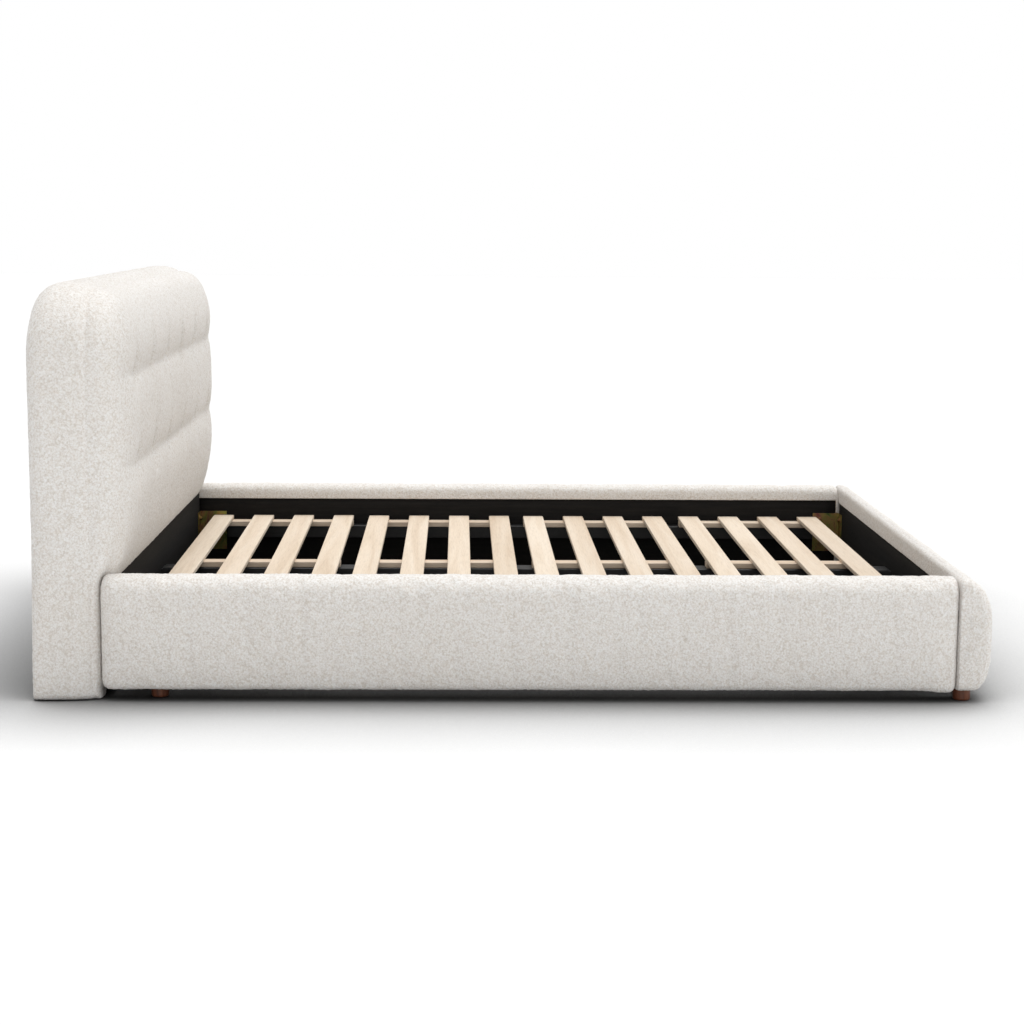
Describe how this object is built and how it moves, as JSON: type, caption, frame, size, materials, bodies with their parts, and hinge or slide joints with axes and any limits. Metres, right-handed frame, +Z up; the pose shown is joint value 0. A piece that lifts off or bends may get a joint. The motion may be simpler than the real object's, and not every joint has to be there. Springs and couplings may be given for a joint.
{
  "type": "upholstered bed",
  "caption": "Padded boucle bed with a tufted headboard, rounded rails, loose slat modules on a centre beam, and short round feet.",
  "frame": {"origin": "on the floor, at the middle of the bed's footprint", "axes": "+X from the headboard to the foot end, +Y across the bed to its far side, +Z up"},
  "size_m": [2.32, 1.71, 1],
  "materials": {
    "boucle": "ivory looped boucle with warm grey flecks, matt",
    "black_lining": "plain black non-woven lining, matt",
    "plywood": "raw plywood",
    "softwood": "raw softwood",
    "slat_wood": "pale planed wood, fine straight grain, matt",
    "black_paint": "black painted timber, matt",
    "black_steel": "black powder coat, satin",
    "yellow_zinc": "yellow zinc plated steel, faintly iridescent",
    "brown_wood": "red-brown stained wood, satin"
  },
  "bodies": {
    "bedframe": {"headboard_pad": "boucle", "headboard_border": "boucle", "side_rail_cover_near": "boucle", "side_rail_cover_far": "boucle", "foot_rail_cover": "boucle", "headboard_lining": "black_lining", "headboard_back_cover": "black_lining", "headboard_board": "plywood", "side_rail_board_near": "plywood", "side_rail_board_far": "plywood", "foot_rail_board": "plywood", "headboard_post_near": "softwood", "headboard_post_far": "softwood", "headboard_bottom_rail": "softwood", "headboard_middle_rail": "softwood", "headboard_top_rail": "softwood", "side_ledger_near": "black_paint", "side_ledger_far": "black_paint", "centre_beam": "black_paint", "beam_hanger_head": "black_steel", "beam_hanger_foot": "black_steel", "centre_leg_1": "black_steel", "centre_leg_2": "black_steel", "centre_leg_3": "black_steel", "corner_bracket_head_near": "yellow_zinc", "corner_bracket_head_far": "yellow_zinc", "corner_bracket_foot_near": "yellow_zinc", "corner_bracket_foot_far": "yellow_zinc", "foot_head_near": "brown_wood", "foot_head_far": "brown_wood", "foot_end_near": "brown_wood", "foot_end_far": "brown_wood"},
    "slat_module_1": {"slat_01": "slat_wood", "slat_02": "slat_wood", "slat_03": "slat_wood", "slat_04": "slat_wood", "batten_1_near": "slat_wood", "batten_1_centre": "slat_wood", "batten_1_far": "slat_wood"},
    "slat_module_2": {"slat_05": "slat_wood", "slat_06": "slat_wood", "slat_07": "slat_wood", "slat_08": "slat_wood", "batten_2_near": "slat_wood", "batten_2_centre": "slat_wood", "batten_2_far": "slat_wood"},
    "slat_module_3": {"slat_09": "slat_wood", "slat_10": "slat_wood", "slat_11": "slat_wood", "slat_12": "slat_wood", "batten_3_near": "slat_wood", "batten_3_centre": "slat_wood", "batten_3_far": "slat_wood"},
    "slat_module_4": {"slat_13": "slat_wood", "slat_14": "slat_wood", "slat_15": "slat_wood", "slat_16": "slat_wood", "batten_4_near": "slat_wood", "batten_4_centre": "slat_wood", "batten_4_far": "slat_wood"}
  },
  "joints": [
    {"name": "module_1_lift", "type": "slide", "parent": "bedframe", "child": "slat_module_1", "axis": [0, 0, 1], "range_m": [0, 0.13]},
    {"name": "module_2_lift", "type": "slide", "parent": "bedframe", "child": "slat_module_2", "axis": [0, 0, 1], "range_m": [0, 0.13]},
    {"name": "module_3_lift", "type": "slide", "parent": "bedframe", "child": "slat_module_3", "axis": [0, 0, 1], "range_m": [0, 0.13]},
    {"name": "module_4_lift", "type": "slide", "parent": "bedframe", "child": "slat_module_4", "axis": [0, 0, 1], "range_m": [0, 0.13]}
  ]
}
